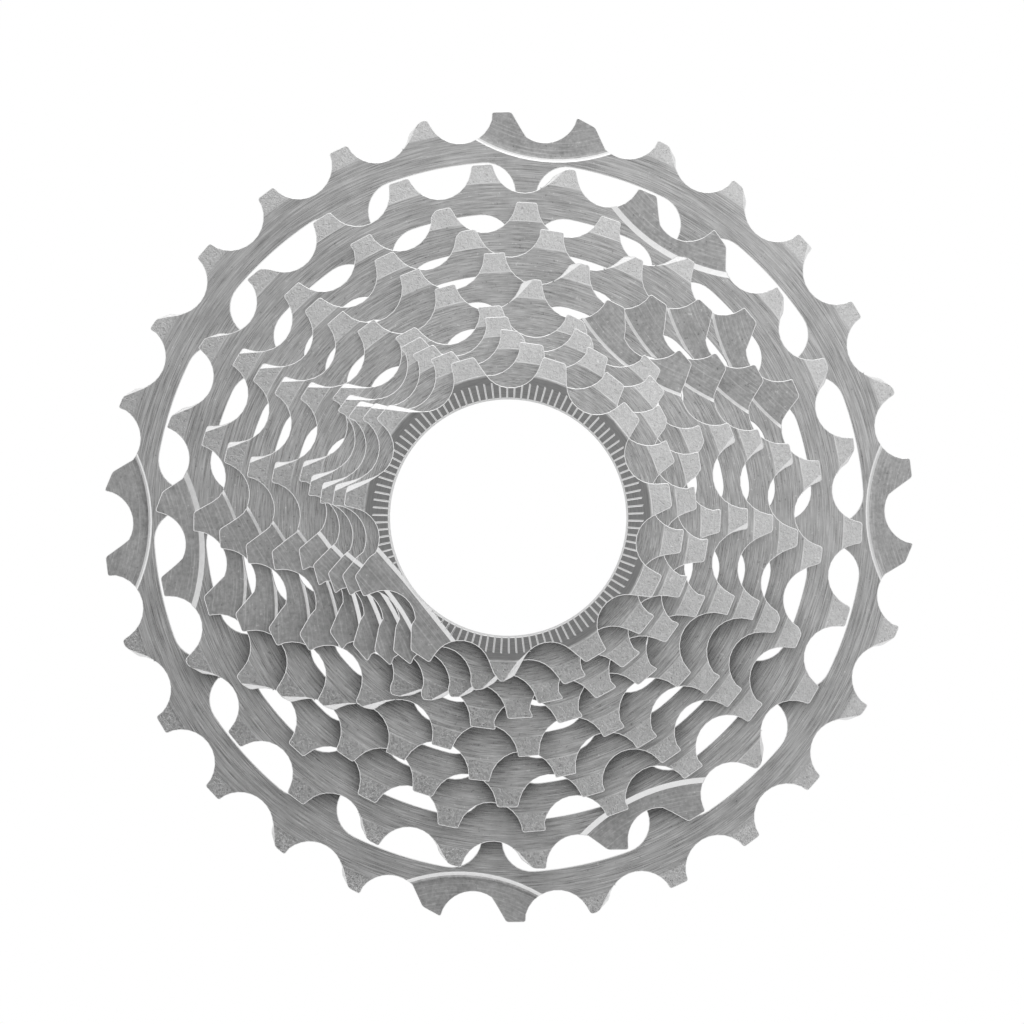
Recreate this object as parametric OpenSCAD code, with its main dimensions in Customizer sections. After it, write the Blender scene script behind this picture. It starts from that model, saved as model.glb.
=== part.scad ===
// Eleven-speed stepped cassette sprocket cluster.
// Eleven toothed rings of shrinking size stand one in front of the other on
// thin-walled step collars, and rows of drive pins lock each ring to the next.
// The axis lies along Y. The small ring faces -Y, and the large ring's rear
// face lies in the plane Y = 0. +Z is up. All sizes are in millimetres.

/* [Cluster] */
// Pitch of the chain that runs on the teeth
chain_pitch = 12.7; // [12.6:0.05:12.8]
// Distance from one ring to the next along the axis
ring_pitch = 3.74; // [3.6:0.02:3.95]
// Thickness of every toothed ring
ring_t = 1.6; // [1.5:0.05:1.75]
// Distance from the pitch circle down to the tooth root
root_drop = 3.93; // [3.85:0.01:4.0]

/* [Bore] */
// Radius of the smooth bore that runs on the hub
bore_r = 17.1; // [16.8:0.05:17.3]
// Number of radial grooves in the lockring seat
groove_n = 110; // [100:1:120]
// Outer radius of the grooved seat
groove_r = 19.4; // [19.0:0.1:19.6]
// Depth of each groove
groove_d = 0.1; // [0.05:0.01:0.15]
// Width of each groove at the face
groove_w = 0.32; // [0.2:0.02:0.4]

/* [Teeth] */
// Rounding of the tooth corners
corner_r = 0.42; // [0.2:0.02:0.6]
// Radial length of the bevel that thins each tooth towards its tip
bevel_len = 2.8; // [2.4:0.1:3.0]
// How far that bevel drops at the tip, on each side
bevel_drop = 0.34; // [0.2:0.02:0.4]

/* [Shift pockets] */
// Depth of the milled shift pockets
pocket_d = 0.5; // [0.3:0.05:0.6]
// Distance from the tooth root down to a pocket's lowest point
pocket_low = 2.95; // [2.5:0.05:3.0]

/* [Windows] */
// Number of lightening windows in each large ring
window_n = 12; // [12:12:12]
// Angle of the middle of the first window, clockwise from the top
window_a = 18.0; // [17:0.1:20]
// Width of the web left between two windows at their outer edge
window_web = 3.5; // [3:0.1:4.5]
// Corner radius of the windows
window_c = 4.5; // [3:0.1:5]

/* [Collars and pins] */
// Step between a ring's tooth root and the collar behind it
collar_gap = 0.35; // [0.3:0.05:0.45]
// Number of drive pins in each row
pin_n = 12; // [12:12:12]
// How far each pin reaches into the ring in front
pin_in = 0.8; // [0.5:0.05:0.9]
// Radial clearance of each pin in its hole
pin_clear = 0.01; // [0.005:0.005:0.02]

/* [Hidden] */

$fn = 180;

// One line per ring, from the rear: number of teeth, angle of the first tooth,
// tooth height above the pitch circle, gap radius, window outer radius (0 for
// a solid web), inner radius, and the kind of each tooth:
//   f plain   w wide   n narrow   l left corner cut   r right face chamfer
//   s sloped top   t blunt sloped top   p pointed   g first and d second
//   tooth of a shift gate, both inside a milled pocket
RINGS = [
  [30, 11.10, 0.50, 5.00, 53.69, 46.10, "dssrfpgdssfffpgdssffpgdssfffpg"],
  [26,  9.48, 0.45, 4.80, 45.64, 40.50, "pgdsssfffpgdsssffpgdsstfff"],
  [23,  3.32, 0.50, 4.85, 40.04, 36.50, "ffpgdrnlwwwwfffpgdrrfwl"],
  [21,  8.78, 0.50, 4.75, 36.09, 32.60, "wpgdrnlwwwfffpgdrrffl"],
  [19, 15.88, 0.55, 4.95, 32.18, 28.60, "pgdrnfwwfffpgdrrfff"],
  [17,  5.71, 0.67, 4.95, 28.21, 24.20, "pgdrrffwffpgdrrff"],
  [15, 19.40, 0.48, 4.80,  0.00, 21.80, "tftffwwwpgdrrff"],
  [14, 22.84, 0.68, 4.85,  0.00, 19.60, "tftfffwpgdrrff"],
  [13,  1.40, 0.74, 4.90,  0.00, 17.10, "tftfffwpgdrrf"],
  [12,  8.35, 0.75, 4.70,  0.00, 17.10, "ffffffpgdrrf"],
  [11, 17.34, 0.93, 4.30,  0.00, 17.10, "fffffpgdrrf"]];

function teeth(i) = RINGS[i][0];
function phase(i) = RINGS[i][1];
function pitch_r(i) = chain_pitch / 2 / sin(180 / teeth(i));
function tip_r(i) = pitch_r(i) + RINGS[i][2];
function root_r(i) = pitch_r(i) - root_drop;
function gap_r(i) = RINGS[i][3];
function win_r(i) = RINGS[i][4];
function win_h(i) = 180 / window_n - asin(window_web / 2 / win_r(i));
function inner_r(i) = i >= 8 ? bore_r : RINGS[i][5];
function kind(i, k) = RINGS[i][6][(k + teeth(i)) % teeth(i)];
function rear_z(i) = i * ring_pitch;
function front_z(i) = i * ring_pitch + ring_t;
function collar_or(i) = root_r(i + 1) - collar_gap;
function collar_ir(i) = inner_r(i);
function pin_pr(i) = (collar_or(i) + collar_ir(i)) / 2;
function pin_r(i) = i < 9 ? 0.5 : 0.3;

// Corners of a tooth from left to right, as [sideways, below the tip].
function top_pts(c, n) =
  c == "g" ? (n < 16 ? [[-2.15, 0], [1.1, 0], [3.0, -3.0]]
                     : [[-1.6, 0], [1.35, 0], [2.9, -2.8]]) :
  c == "d" ? (n < 16 ? [[-2.1, 0], [1.1, 0], [2.8, -3.0]] :
              n < 24 ? [[-1.6, 0], [1.25, -0.05], [2.8, -2.9]]
                     : [[-1.5, 0], [1.5, -0.95], [2.9, -2.9]]) :
  c == "s" ? [[-1.6, 0], [0.2, -0.15], [2.0, -1.65]] :
  c == "t" ? [[-1.8, 0], [0.8, -0.3], [1.7, -1.3]] :
  c == "p" ? (n < 12 ? [[-1.3, -0.85], [0.3, -0.05], [0.8, -0.1], [1.7, -1.2]] :
              n < 16 ? [[-1.5, -1.5], [-0.1, -0.4], [1.25, 0], [1.9, -0.9]] :
              n < 24 ? [[-1.5, -0.7], [-0.1, -0.05], [1.35, 0]]
                     : [[-1.8, -1.5], [0.3, 0], [1.3, 0]]) :
  c == "l" ? [[-1.75, -0.8], [-0.9, 0], [1.35, 0]] :
  c == "n" ? [[-1.5, 0], [0.95, 0], [1.9, -2.0]] :
  c == "w" ? (n < 16 ? [[-2.2, 0], [1.6, 0]] : [[-1.9, 0], [1.65, 0]]) :
  c == "r" ? (n < 12 ? [[-2.05, 0], [0.75, 0]] :
              n < 16 ? [[-1.95, 0], [1.1, 0]] : [[-1.6, 0], [1.5, 0]]) :
  (n < 16 ? [[-2.05, 0], [1.4, 0]] :
   n > 28 ? [[-1.5, 0], [1.5, 0]] : [[-1.55, 0], [1.55, 0]]);

// Face chamfer of a tooth: where its line leaves the top, the side it falls
// away to, and its slope. Empty for a tooth without one.
function facet(c, n) =
  c == "p" ? [n < 12 ? 1.3 : n < 16 ? 1.4 : 1.2, -1, 30] :
  c == "r" ? [n < 12 ? -0.9 : n < 16 ? -0.6 : -0.25, 1, 36] :
  c == "s" ? [-0.75, 1, 33] : [];

function unit(v) = v / norm(v);
function pol(r, a) = [r * sin(a), r * cos(a)];
// A corner point of tooth k, seen from the middle of a gap at angle da.
function seen(i, p, da) =
  let (v = tip_r(i) + p[1], r = norm([p[0], v]), a = atan2(p[0], v))
  pol(r, a - da);
// Angle on the gap circle where the flank from point c touches it.
function touch(i, c, side) =
  let (w = c - [0, root_r(i) + gap_r(i)], d = norm(w), b = atan2(w[0], -w[1]))
  d > gap_r(i) * 1.0005 ? b - side * acos(gap_r(i) / d) : b - side * 14;
// Rounded corner between points p and q, with its sharp point at c.
function blend3(p, c, q, r) =
  let (l = min(r, 0.45 * norm(p - c), 0.45 * norm(q - c)),
       a = c + unit(p - c) * l, b = c + unit(q - c) * l)
  [for (t = [0 : 0.25 : 1]) a * (1 - t) * (1 - t) + c * 2 * t * (1 - t) + b * t * t];
// Turns a point seen from angle da into the ring's own plane.
function turn(p, a) = [p[0] * cos(a) + p[1] * sin(a), -p[0] * sin(a) + p[1] * cos(a)];

// The outline of one tooth and of the gap that follows it, clockwise.
function tooth_pts(i, k) =
  let (n = teeth(i), st = 360 / n, a = phase(i) + st * k,
       me = top_pts(kind(i, k), n), nx = top_pts(kind(i, k + 1), n),
       o = [0, root_r(i) + gap_r(i)],
       // the flank points on the gap circles before and after this tooth
       tl = touch(i, seen(i, me[0], -st / 2), 1),
       tr = touch(i, seen(i, me[len(me) - 1], st / 2), -1),
       tn = touch(i, seen(i, nx[0], -st / 2), 1),
       left = turn(o + gap_r(i) * [sin(tl), -cos(tl)], -st / 2),
       right = turn(o + gap_r(i) * [sin(tr), -cos(tr)], st / 2),
       top = [for (p = me) [p[0], tip_r(i) + p[1]]],
       path = concat([left], top, [right]),
       m = len(path))
  concat(
    [for (j = [1 : m - 2]) for (q = blend3(path[j - 1], path[j], path[j + 1], corner_r)) turn(q, a)],
    [for (j = [0 : 10]) turn(o + gap_r(i) * [sin(tr + (tn - tr) * j / 10), -cos(tr + (tn - tr) * j / 10)], a + st / 2)]);

function outline(i) = [for (k = [0 : teeth(i) - 1]) for (p = tooth_pts(i, k)) p];

// A lightening window: a sector with round outer corners, down to the collar.
module window(i) {
  ro = win_r(i);
  h = win_h(i);
  c = window_c;
  ca = h - asin(c / (ro - c));
  right = [for (t = [11.25 : 11.25 : 90]) turn([c * sin(t), ro - c + c * cos(t)], ca)];
  difference() {
    polygon(concat([for (t = [-5 : 5]) pol(ro, t * ca / 5)], right, [pol(5, h), pol(5, -h)],
                   [for (j = [len(right) - 1 : -1 : 0]) [-right[j][0], right[j][1]]]));
    circle(r = collar_or(i) + 0.2);
  }
}

// Everything the tip bevel takes off one side of a ring.
module bevel_cut(i) {
  rb = tip_r(i) - bevel_len;
  s = bevel_drop / bevel_len;
  rotate_extrude()
    polygon([[rb - 0.2 / s, ring_t + 0.2], [tip_r(i) + 0.8, ring_t - s * (bevel_len + 0.8)],
             [tip_r(i) + 0.8, ring_t + 0.2]]);
}

// A shift pocket: the round mark of a large milling cutter. The cutter's edge
// leaves a soft corner in the largest ring and a plain slope in the others.
module pocket_cut(i) {
  low = root_r(i) - (i == 10 ? 1.86 : i == 9 ? 0.7 : i > 5 ? 1.75 : i == 5 ? 2.6 : pocket_low);
  r = i == 10 ? 200 : i == 0 ? 25 : 28;
  w = i == 0 ? 1.2 : i == 1 ? 0.85 : i > 5 ? 0.62 : 0.48;
  q = (w * w + pocket_d * pocket_d) / 2 / pocket_d;
  zf = ring_t - pocket_d;
  qa = asin(w / q);
  lip = [for (t = [0 : i == 0 ? 0.25 : 1 : 1])
         i == 0 ? [r - w + q * sin(qa * t), zf + q * (1 - cos(qa * t))]
                : [r - w + w * t, zf + pocket_d * t]];
  n = len(lip);
  // the last stretch runs straight out through the face
  out = lip[n - 2] + (lip[n - 1] - lip[n - 2]) * (i == 0 ? 2 : 1.5);
  translate([0, low + r, 0])
    rotate_extrude($fn = 360)
      polygon(concat([[0, zf]], [for (j = [0 : n - 2]) lip[j]], [out, [0, out[1]]]));
}

// Where the line from p on a tooth's top touches the gap circle beside it.
function facet_end(i, p, side) =
  let (o = root_r(i) + gap_r(i), h = 180 / teeth(i),
       w = [o * sin(h) - side * p[0], o * cos(h) - tip_r(i) - p[1]],
       d = norm(w), g = gap_r(i) + 0.1,
       a = atan2(w[1], w[0]) - asin(g / d), l = sqrt(d * d - g * g))
  p + l * [side * cos(a), sin(a)];

// The flat face chamfer of one tooth, for the tooth standing at the top.
module facet_cut(i, f) {
  p = [f[0], 0.1];
  d = facet_end(i, p, f[1]) - p;
  s = tan(f[2]);
  deep = min(3.2 * s, ring_t + 0.2);
  translate([p[0], tip_r(i) + p[1], ring_t])
    rotate([0, 0, atan2(d[0], -d[1])])
      mirror([f[1] < 0 ? 1 : 0, 0, 0])
        rotate([90, 0, 0])
          linear_extrude(norm(d))
            polygon([[-0.3 / s, 0.3], [deep / s, -deep], [3.3, -deep], [3.3, 0.3]]);
}

// The radial grooves of the lockring seat.
module groove_cuts() {
  for (k = [0 : groove_n - 1])
    rotate([0, 0, -(k * 360 / groove_n - 0.35)])
      translate([0, bore_r - 1, ring_t])
        rotate([-90, 0, 0])
          linear_extrude(groove_r - bore_r + 1)
            polygon([[-groove_w / 2 - 0.1, -0.1], [groove_w / 2 + 0.1, -0.1], [0, groove_d]]);
}

// The row of round holes that pins i fit.
module pin_row(i) {
  for (k = [0 : pin_n - 1])
    rotate([0, 0, -(window_a - 15 + k * 360 / pin_n)])
      translate([0, pin_pr(i)]) circle(r = pin_r(i), $fn = 32);
}

// Turns the cluster from its own axis onto the bicycle's.
module set_axis() { rotate([90, 0, 0]) children(); }

module ring(i) {
  n = teeth(i);
  set_axis() translate([0, 0, rear_z(i)])
    difference() {
      linear_extrude(ring_t)
        difference() {
          polygon(outline(i));
          circle(r = inner_r(i));
          if (win_r(i) > 0)
            for (k = [0 : window_n - 1])
              rotate([0, 0, -(window_a + k * 360 / window_n)]) window(i);
          if (i < 10) pin_row(i);
        }
      bevel_cut(i);
      translate([0, 0, ring_t]) mirror([0, 0, 1]) bevel_cut(i);
      for (k = [0 : n - 1])
        if (kind(i, k) == "g")
          rotate([0, 0, -(phase(i) + 360 / n * (k + 0.5) + 0.4)]) pocket_cut(i);
      for (k = [0 : n - 1])
        if (len(facet(kind(i, k), n)) > 0)
          rotate([0, 0, -(phase(i) + 360 / n * k)]) facet_cut(i, facet(kind(i, k), n));
      if (i == 10) groove_cuts();
      if (i > 0) translate([0, 0, -1]) linear_extrude(pin_in + 1) pin_row(i - 1);
    }
}

module collar(i) {
  set_axis() translate([0, 0, front_z(i)])
    linear_extrude(ring_pitch - ring_t)
      difference() {
        circle(r = collar_or(i));
        circle(r = collar_ir(i));
        pin_row(i);
      }
}

module pins(i) {
  set_axis() translate([0, 0, rear_z(i)])
    for (k = [0 : pin_n - 1])
      rotate([0, 0, -(window_a - 15 + k * 360 / pin_n)])
        translate([0, pin_pr(i), 0])
          cylinder(r = pin_r(i) - pin_clear, h = ring_pitch + pin_in - 0.05, $fn = 32);
}

module sprocket_30t() { color([0.66, 0.66, 0.66]) ring(0); }
module sprocket_26t() { color([0.64, 0.64, 0.64]) ring(1); }
module sprocket_23t() { color([0.66, 0.66, 0.66]) ring(2); }
module sprocket_21t() { color([0.64, 0.64, 0.64]) ring(3); }
module sprocket_19t() { color([0.66, 0.66, 0.66]) ring(4); }
module sprocket_17t() { color([0.64, 0.64, 0.64]) ring(5); }
module sprocket_15t() { color([0.66, 0.66, 0.66]) ring(6); }
module sprocket_14t() { color([0.64, 0.64, 0.64]) ring(7); }
module sprocket_13t() { color([0.66, 0.66, 0.66]) ring(8); }
module sprocket_12t() { color([0.64, 0.64, 0.64]) ring(9); }
module sprocket_11t() { color([0.60, 0.60, 0.60]) ring(10); }
module collar_30_26() { color([0.45, 0.45, 0.46]) collar(0); }
module collar_26_23() { color([0.45, 0.45, 0.46]) collar(1); }
module collar_23_21() { color([0.45, 0.45, 0.46]) collar(2); }
module collar_21_19() { color([0.45, 0.45, 0.46]) collar(3); }
module collar_19_17() { color([0.45, 0.45, 0.46]) collar(4); }
module collar_17_15() { color([0.45, 0.45, 0.46]) collar(5); }
module collar_15_14() { color([0.45, 0.45, 0.46]) collar(6); }
module collar_14_13() { color([0.45, 0.45, 0.46]) collar(7); }
module collar_13_12() { color([0.45, 0.45, 0.46]) collar(8); }
module collar_12_11() { color([0.45, 0.45, 0.46]) collar(9); }
module pins_30_26() { color([0.75, 0.75, 0.76]) pins(0); }
module pins_26_23() { color([0.75, 0.75, 0.76]) pins(1); }
module pins_23_21() { color([0.75, 0.75, 0.76]) pins(2); }
module pins_21_19() { color([0.75, 0.75, 0.76]) pins(3); }
module pins_19_17() { color([0.75, 0.75, 0.76]) pins(4); }
module pins_17_15() { color([0.75, 0.75, 0.76]) pins(5); }
module pins_15_14() { color([0.75, 0.75, 0.76]) pins(6); }
module pins_14_13() { color([0.75, 0.75, 0.76]) pins(7); }
module pins_13_12() { color([0.75, 0.75, 0.76]) pins(8); }
module pins_12_11() { color([0.75, 0.75, 0.76]) pins(9); }

sprocket_30t();
sprocket_26t();
sprocket_23t();
sprocket_21t();
sprocket_19t();
sprocket_17t();
sprocket_15t();
sprocket_14t();
sprocket_13t();
sprocket_12t();
sprocket_11t();
collar_30_26();
collar_26_23();
collar_23_21();
collar_21_19();
collar_19_17();
collar_17_15();
collar_15_14();
collar_14_13();
collar_13_12();
collar_12_11();
pins_30_26();
pins_26_23();
pins_23_21();
pins_21_19();
pins_19_17();
pins_17_15();
pins_15_14();
pins_14_13();
pins_13_12();
pins_12_11();
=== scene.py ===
import bpy, math
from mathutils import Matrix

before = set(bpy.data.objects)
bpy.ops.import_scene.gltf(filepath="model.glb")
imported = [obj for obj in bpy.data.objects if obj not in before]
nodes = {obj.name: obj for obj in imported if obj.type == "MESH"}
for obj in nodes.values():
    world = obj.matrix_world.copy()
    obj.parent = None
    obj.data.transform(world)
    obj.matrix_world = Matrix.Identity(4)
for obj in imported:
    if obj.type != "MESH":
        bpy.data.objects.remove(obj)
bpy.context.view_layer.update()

# ---------------------------------------------------------------- the object's own numbers
CHAIN, PITCH, T, DROP = 12.7, 3.74, 1.6, 3.93
# teeth, angle of the first tooth, tooth height over the pitch circle, shift gates' first teeth
RINGS = [
    (30, 11.10, 0.50, (6, 14, 21, 29)), (26, 9.48, 0.45, (1, 10, 18)), (23, 3.32, 0.50, (3, 16)),
    (21, 8.78, 0.50, (2, 14)), (19, 15.88, 0.55, (1, 12)), (17, 5.71, 0.67, (1, 11)),
    (15, 19.40, 0.48, (9,)), (14, 22.84, 0.68, (8,)), (13, 1.40, 0.74, (8,)),
    (12, 8.35, 0.75, (7,)), (11, 17.34, 0.93, (6,))]
BORE = 17.1


def pitch_r(i):
    return CHAIN / 2 / math.sin(math.pi / RINGS[i][0])


def tip_r(i):
    return pitch_r(i) + RINGS[i][2]


def root_r(i):
    return pitch_r(i) - DROP


def front(i):
    return i * PITCH + T


def pocket(i):
    low = root_r(i) - (1.86 if i == 10 else 0.7 if i == 9 else 1.75 if i > 5 else 2.6 if i == 5 else 2.95)
    return low, (200.0 if i == 10 else 25.0 if i == 0 else 28.0)


def gates(i):
    n, ph = RINGS[i][:2]
    low, rad = pocket(i)
    out = []
    for k in RINGS[i][3]:
        a = math.radians(ph + 360 / n * (k + 0.5) + 0.4)
        out.append(((low + rad) * math.sin(a), (low + rad) * math.cos(a), rad, math.degrees(a)))
    return out


# ---------------------------------------------------------------- camera, as the photograph
sc = bpy.context.scene
cam = bpy.data.cameras.new("camera")
cam.sensor_width = 36.0
cam.lens = 4610 * 36 / 1024
cam.shift_x = (512 - 523.4) / 1024
cam.shift_y = -(512 - 503.8) / 1024
cam.clip_start, cam.clip_end = 0.02, 20.0
cam_ob = bpy.data.objects.new("camera", cam)
cam_ob.location = (0.0022, -0.0016 - 0.696, 0.0020)
cam_ob.rotation_euler = (math.pi / 2, 0, 0)
sc.collection.objects.link(cam_ob)
sc.camera = cam_ob
sc.view_settings.view_transform = "Standard"


# ---------------------------------------------------------------- node helper
class Net:
    def __init__(self, tree):
        self.t = tree
        tree.nodes.clear()

    def node(self, kind, **props):
        n = self.t.nodes.new(kind)
        for k, v in props.items():
            setattr(n, k, v)
        return n

    def put(self, socket, v):
        if isinstance(v, bpy.types.NodeSocket):
            self.t.links.new(v, socket)
        elif v is not None:
            socket.default_value = v

    def m(self, op, a, b=None, c=None, clamp=False):
        n = self.node("ShaderNodeMath", operation=op, use_clamp=clamp)
        for s, v in zip(n.inputs, (a, b, c)):
            self.put(s, v)
        return n.outputs[0]

    def add(self, a, b): return self.m("ADD", a, b)
    def sub(self, a, b): return self.m("SUBTRACT", a, b)
    def mul(self, a, b): return self.m("MULTIPLY", a, b)
    def div(self, a, b): return self.m("DIVIDE", a, b)
    def mad(self, a, b, c): return self.m("MULTIPLY_ADD", a, b, c)

    def smooth(self, v, lo, hi, a=0.0, b=1.0):
        n = self.node("ShaderNodeMapRange", interpolation_type="SMOOTHSTEP")
        for s, x in zip(n.inputs, (v, lo, hi, a, b)):
            self.put(s, x)
        return n.outputs[0]

    def lin(self, v, lo, hi, a=0.0, b=1.0):
        n = self.node("ShaderNodeMapRange", interpolation_type="LINEAR")
        for s, x in zip(n.inputs, (v, lo, hi, a, b)):
            self.put(s, x)
        return n.outputs[0]

    def xyz(self, x, y, z):
        n = self.node("ShaderNodeCombineXYZ")
        for s, v in zip(n.inputs, (x, y, z)):
            self.put(s, v)
        return n.outputs[0]

    def mixf(self, f, a, b):
        n = self.node("ShaderNodeMix", data_type="FLOAT")
        self.put(n.inputs[0], f)
        self.put(n.inputs[2], a)
        self.put(n.inputs[3], b)
        return n.outputs[0]

    def noise(self, vec, scale=1.0, detail=2.0, rough=0.5, distort=0.0):
        n = self.node("ShaderNodeTexNoise", noise_dimensions="3D")
        self.put(n.inputs["Vector"], vec)
        n.inputs["Scale"].default_value = scale
        n.inputs["Detail"].default_value = detail
        n.inputs["Roughness"].default_value = rough
        n.inputs["Distortion"].default_value = distort
        return n.outputs[0]

    def grey(self, v):
        n = self.node("ShaderNodeCombineColor")
        for s in n.inputs[:3]:
            self.put(s, v)
        return n.outputs[0]

    def bump(self, height, dist, strength=1.0, normal=None):
        n = self.node("ShaderNodeBump")
        n.inputs["Strength"].default_value = strength
        n.inputs["Distance"].default_value = dist
        self.put(n.inputs["Height"], height)
        if normal is not None:
            self.put(n.inputs["Normal"], normal)
        return n.outputs[0]


def new_material(name):
    mat = bpy.data.materials.new(name)
    mat.use_nodes = True
    return mat, Net(mat.node_tree)


def finish_material(net, color, rough, normal, metallic=1.0, aniso=0.0, tangent=None):
    b = net.node("ShaderNodeBsdfPrincipled")
    b.inputs["Metallic"].default_value = metallic
    b.inputs["Anisotropic"].default_value = aniso
    net.put(b.inputs["Base Color"], color)
    net.put(b.inputs["Roughness"], rough)
    if normal is not None:
        net.put(b.inputs["Normal"], normal)
    if tangent is not None:
        net.put(b.inputs["Tangent"], tangent)
    out = net.node("ShaderNodeOutputMaterial")
    net.t.links.new(b.outputs[0], out.inputs[0])
    return b


def position(net):
    """The point's X, Y and Z in millimetres, in the object's own frame."""
    tc = net.node("ShaderNodeTexCoord")
    s = net.node("ShaderNodeSeparateXYZ")
    net.t.links.new(tc.outputs["Object"], s.inputs[0])
    return [net.mul(o, 1000.0) for o in s.outputs]


# ---------------------------------------------------------------- the toothed rings
def ring_material(i):
    mat, n = new_material("ring_steel_%d" % RINGS[i][0])
    x, y, z = position(n)
    r = n.m("SQRT", n.add(n.mul(x, x), n.mul(z, z)))
    depth = n.add(y, front(i))                      # below the ring's front face
    sx, sz = n.div(x, r), n.div(z, r)

    # which pocket the point lies in, and its distance from that cutter's centre
    arc, ax, az, inside = r, sx, sz, 0.0
    for (cx, cz, rad, _) in gates(i):
        dx, dz = n.sub(x, cx), n.sub(z, cz)
        d = n.m("SQRT", n.add(n.mul(dx, dx), n.mul(dz, dz)))
        hit = n.m("LESS_THAN", d, rad - 0.02)
        arc = n.mixf(hit, arc, d)
        ax = n.mixf(hit, ax, n.div(dx, d))
        az = n.mixf(hit, az, n.div(dz, d))
        inside = n.m("MAXIMUM", inside, hit)

    # fine circular tool marks: long streaks along the cut, very short across it
    v1 = n.xyz(n.mul(arc, 7.0), n.mul(ax, 10.0), n.mul(az, 10.0))
    v2 = n.xyz(n.mul(arc, 2.1), n.mul(ax, 4.0), n.mul(az, 4.0))
    v3 = n.xyz(n.mul(arc, 11.0), n.mul(ax, 22.0), n.mul(az, 22.0))
    streak = n.sub(n.noise(v1, 1.0, 3.0, 0.65), 0.5)
    band = n.sub(n.noise(v2, 1.0, 2.0, 0.5), 0.5)
    scratch = n.smooth(n.noise(v3, 1.0, 2.0, 0.6), 0.62, 0.72)
    # the cutter's steps inside a pocket: fine arcs, stronger in places
    step = n.m("FRACT", n.div(n.mad(band, 0.5, arc), 0.55))
    line = n.mul(n.smooth(step, 0.0, 0.15), n.smooth(step, 0.50, 0.25))
    line = n.mul(line, n.mul(inside, n.smooth(band, -0.10, 0.16)))

    # the tip bevel is left with a rougher, lighter skin
    rb = tip_r(i) - 2.8
    soft = 0.5 if i in (0, 10) else 0.05
    bevel = n.mul(n.smooth(r, rb - soft, rb + soft), n.sub(1.0, inside))
    grain = n.sub(n.noise(n.xyz(n.mul(x, 2.6), n.mul(y, 2.6), n.mul(z, 2.6)), 1.0, 3.0, 0.6, 1.2), 0.5)
    # stains, handling marks and small pits
    stain = n.sub(n.noise(n.xyz(n.mul(x, 0.14), n.mul(y, 0.14), n.mul(z, 0.14)), 1.0, 4.0, 0.62, 0.5), 0.5)
    mottle = n.sub(n.noise(n.xyz(n.mul(x, 1.5), n.mul(y, 1.5), n.mul(z, 1.5)), 1.0, 4.0, 0.7), 0.5)
    speck = n.noise(n.xyz(n.mul(x, 1.9), n.mul(y, 1.9), n.mul(z, 1.9)), 1.0, 1.0, 0.5)
    light_speck = n.smooth(speck, 0.71, 0.76)
    pit = n.smooth(speck, 0.29, 0.25)

    face = n.mad(streak, 1.20, 0.56)
    face = n.mad(band, 0.22, face)
    face = n.mad(scratch, 0.18, face)
    floor_ = n.mad(streak, 0.30, n.mad(mottle, 0.42, 0.50))
    floor_ = n.mad(line, 0.13, floor_)
    value = n.mixf(inside, face, floor_)
    value = n.mixf(bevel, value, n.mad(grain, 0.60, 0.72))
    crease_highlight = n.smooth(n.m("ABSOLUTE", n.sub(r, rb - 0.05)), 0.13, 0.05)
    if i > 0:                                       # painted highlight along the turned crease at the bevel's foot
        value = n.mad(n.mul(crease_highlight, n.sub(1.0, inside)), 0.22, value)
    value = n.mad(stain, 0.26, value)
    value = n.mad(mottle, 0.12, value)
    value = n.mad(light_speck, 0.16, value)
    value = n.mad(pit, -0.16, value)
    rough = n.mad(streak, 0.25, 0.30)
    rough = n.mixf(inside, rough, 0.36)
    rough = n.mixf(bevel, rough, n.mad(grain, 0.3, 0.32))
    height = n.mixf(bevel, n.mad(band, 0.5, streak), n.mul(grain, 11.0))
    if i == 10:                                     # the turned, grooved lockring seat: a darker turned ring, its grooves given a bright colour as a painted highlight of their lit walls
        seat = n.mul(n.smooth(r, 20.45, 20.25), n.m("LESS_THAN", depth, 0.3))
        cut_and_highlight = n.mul(seat, n.smooth(depth, 0.004, 0.02))
        value = n.mixf(seat, value, n.mad(streak, 0.25, 0.32))
        value = n.mixf(cut_and_highlight, value, 0.85)
        rough = n.mixf(seat, rough, 0.34)
    # cut chamfers, facets and tooth flanks get a brighter colour: partly the tone of bare cut steel,
    # partly a painted highlight where these side faces catch the light
    tc = n.node("ShaderNodeTexCoord")
    sep = n.node("ShaderNodeSeparateXYZ")
    n.t.links.new(tc.outputs["Normal"], sep.inputs[0])
    cut_and_highlight = n.smooth(n.m("ABSOLUTE", sep.outputs[1]), 0.93, 0.86)
    value = n.mixf(cut_and_highlight, value, n.mad(grain, 0.2, 0.80))
    rough = n.mixf(cut_and_highlight, rough, 0.30)
    # painted shadow: the corners under the next ring darken on the low side only, where the top light's
    # shadow falls
    occ = n.node("ShaderNodeAmbientOcclusion", samples=4)
    occ.inputs["Distance"].default_value = 0.0040
    painted_shadow = n.mul(n.smooth(occ.outputs["AO"], 0.94, 0.42), n.smooth(z, 4.0, -24.0))
    value = n.mul(value, n.mad(n.mul(painted_shadow, n.sub(1.0, cut_and_highlight)), -0.88, 1.0))
    value = n.m("MINIMUM", n.m("MAXIMUM", value, 0.06), 0.95)
    normal = n.bump(height, 0.000010, 0.6)
    tan = n.node("ShaderNodeTangent", direction_type="RADIAL", axis="Y")
    finish_material(n, n.grey(value), rough, normal, 1.0, 0.35, tan.outputs[0])
    return mat


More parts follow.
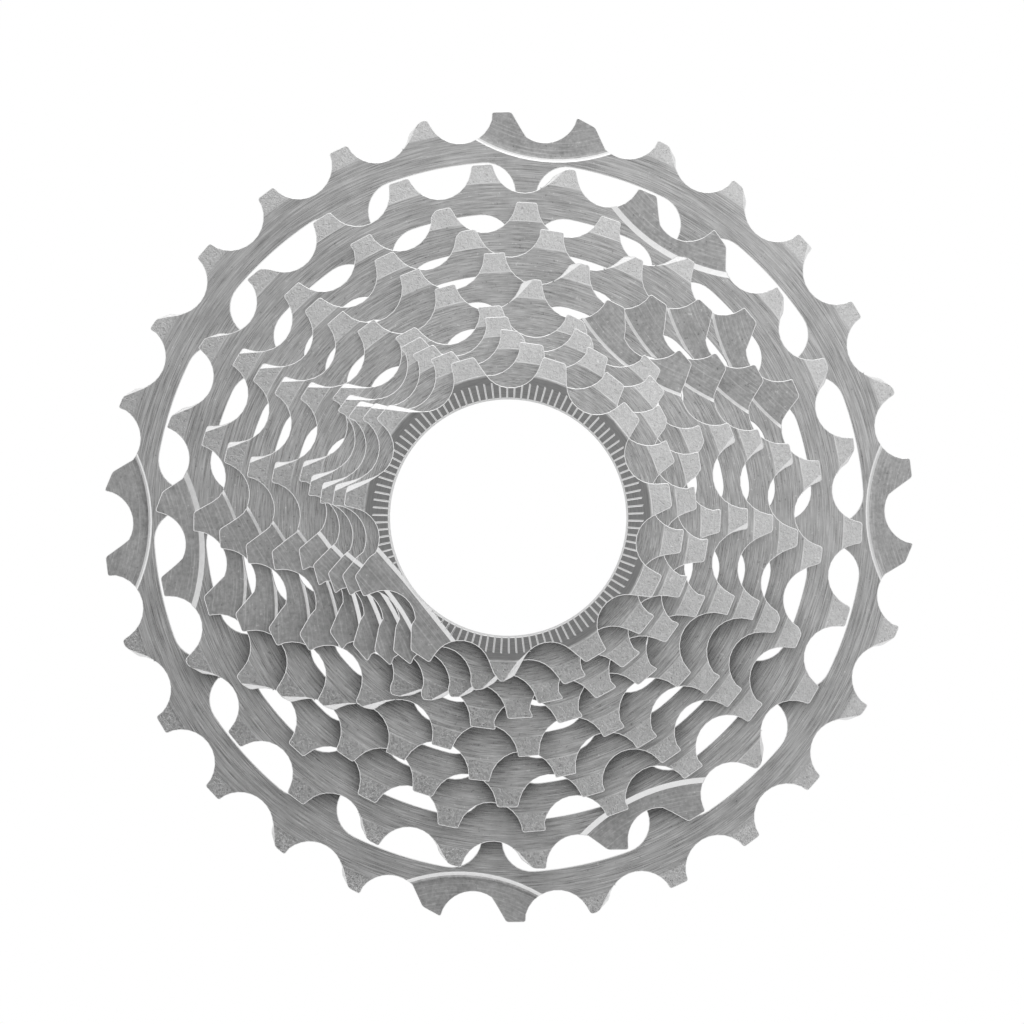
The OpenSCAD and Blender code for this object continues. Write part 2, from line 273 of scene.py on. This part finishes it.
def plain_steel(name, value, streaks, rough):
    """Turned steel for the collars and pins."""
    mat, n = new_material(name)
    x, y, z = position(n)
    r = n.m("SQRT", n.add(n.mul(x, x), n.mul(z, z)))
    v = n.xyz(n.mul(y, 6.0), n.mul(n.div(x, r), 8.0), n.mul(n.div(z, r), 8.0))
    s = n.noise(v, 1.0, 3.0, 0.6)
    stain = n.noise(n.xyz(n.mul(x, 0.2), n.mul(y, 0.2), n.mul(z, 0.2)), 1.0, 3.0, 0.6)
    col = n.mad(n.sub(s, 0.5), streaks, n.mad(n.sub(stain, 0.5), 0.12, value))
    finish_material(n, n.grey(col), n.mad(n.sub(s, 0.5), 0.2, rough), n.bump(s, 0.00001, 0.5))
    return mat


collar_mat = plain_steel("collar_steel", 0.50, 0.20, 0.38)
pin_mat = plain_steel("pin_steel", 0.62, 0.10, 0.28)
ring_mats = {n: ring_material(i) for i, (n, *_) in enumerate(RINGS)}

# machined faces meet in true corners, so no shading runs across them
flat_faces = bpy.data.node_groups.new("flat_faces", "GeometryNodeTree")
flat_faces.interface.new_socket("Geometry", in_out="INPUT", socket_type="NodeSocketGeometry")
flat_faces.interface.new_socket("Geometry", in_out="OUTPUT", socket_type="NodeSocketGeometry")
g_in = flat_faces.nodes.new("NodeGroupInput")
g_out = flat_faces.nodes.new("NodeGroupOutput")
g_flat = flat_faces.nodes.new("GeometryNodeSetShadeSmooth")
g_flat.inputs["Shade Smooth"].default_value = False
flat_faces.links.new(g_in.outputs[0], g_flat.inputs["Geometry"])
flat_faces.links.new(g_flat.outputs[0], g_out.inputs[0])

for name, ob in nodes.items():
    if name.startswith("sprocket_"):
        mat = ring_mats[int(name.split("_")[1][:-1])]
    elif name.startswith("collar_"):
        mat = collar_mat
    else:
        mat = pin_mat
    ob.data.materials.clear()
    ob.data.materials.append(mat)
    if name.startswith("sprocket_"):                # every edge is broken by tumbling
        w = ob.modifiers.new("weld", "WELD")
        w.merge_threshold = 0.000002
        flat = ob.modifiers.new("flat", "DECIMATE")
        flat.decimate_type = "DISSOLVE"
        flat.angle_limit = math.radians(1)
        bev = ob.modifiers.new("edge", "BEVEL")
        bev.width = 0.00009
        bev.segments = 1
        bev.limit_method = "ANGLE"
        bev.angle_limit = math.radians(52)
        bev.use_clamp_overlap = False
        bev.loop_slide = False
        bev.harden_normals = False
        even = ob.modifiers.new("even", "NODES")
        even.node_group = flat_faces

# ---------------------------------------------------------------- stage, light
bpy.ops.mesh.primitive_grid_add(x_subdivisions=8, y_subdivisions=8, size=1.6, location=(0, 0.38, -0.36))
floor = bpy.context.object
floor.name = "floor"
fm, n = new_material("floor_paper")
x, y, z = position(n)
g = n.noise(n.xyz(n.mul(x, 0.01), n.mul(y, 0.01), 0.0), 1.0, 2.0, 0.5)
finish_material(n, n.grey(n.mad(g, 0.03, 0.90)), 0.8, None, 0.0)
floor.data.materials.append(fm)

world = bpy.data.worlds.new("studio")
sc.world = world
world.use_nodes = True
n = Net(world.node_tree)
tc = n.node("ShaderNodeTexCoord")
sp = n.node("ShaderNodeSeparateXYZ")
n.t.links.new(tc.outputs["Generated"], sp.inputs[0])
dx, dy, dz = sp.outputs
slant = n.add(n.mul(dx, 0.62), n.mul(dz, 0.785))     # towards the upper right
behind = n.smooth(n.mad(slant, 0.25, dy), -0.38, -0.88)    # 1 straight behind the camera
room = n.mad(n.smooth(slant, -0.19, 0.12), 0.66, 0.20)
side = n.smooth(n.add(n.mul(dx, -0.8), n.mul(dz, 0.6)), -0.6, 0.8)     # towards the upper left
level = n.mul(n.smooth(dy, -0.50, -0.36), n.smooth(dx, -0.1, 0.5))     # level with the part, on its right
rad = n.mixf(behind, n.mad(level, 0.36, n.mad(side, 0.42, 0.64)), room)
bg = n.node("ShaderNodeBackground")
n.put(bg.inputs[0], n.grey(rad))
white = n.node("ShaderNodeBackground")
white.inputs[0].default_value = (1, 1, 1, 1)
lp = n.node("ShaderNodeLightPath")
mx = n.node("ShaderNodeMixShader")
n.put(mx.inputs[0], lp.outputs["Is Camera Ray"])
n.t.links.new(bg.outputs[0], mx.inputs[1])
n.t.links.new(white.outputs[0], mx.inputs[2])
out = n.node("ShaderNodeOutputWorld")
n.t.links.new(mx.outputs[0], out.inputs[0])


def area(name, loc, target, size, power):
    l = bpy.data.lights.new(name, "AREA")
    l.shape, l.size, l.energy = "DISK", size, power
    o = bpy.data.objects.new(name, l)
    o.location = loc
    d = [t - c for t, c in zip(target, loc)]
    from mathutils import Vector
    o.rotation_euler = Vector(d).to_track_quat("-Z", "Y").to_euler()
    sc.collection.objects.link(o)


area("top", (0.0, -0.10, 0.9), (0, -0.02, 0), 0.7, 0.6)
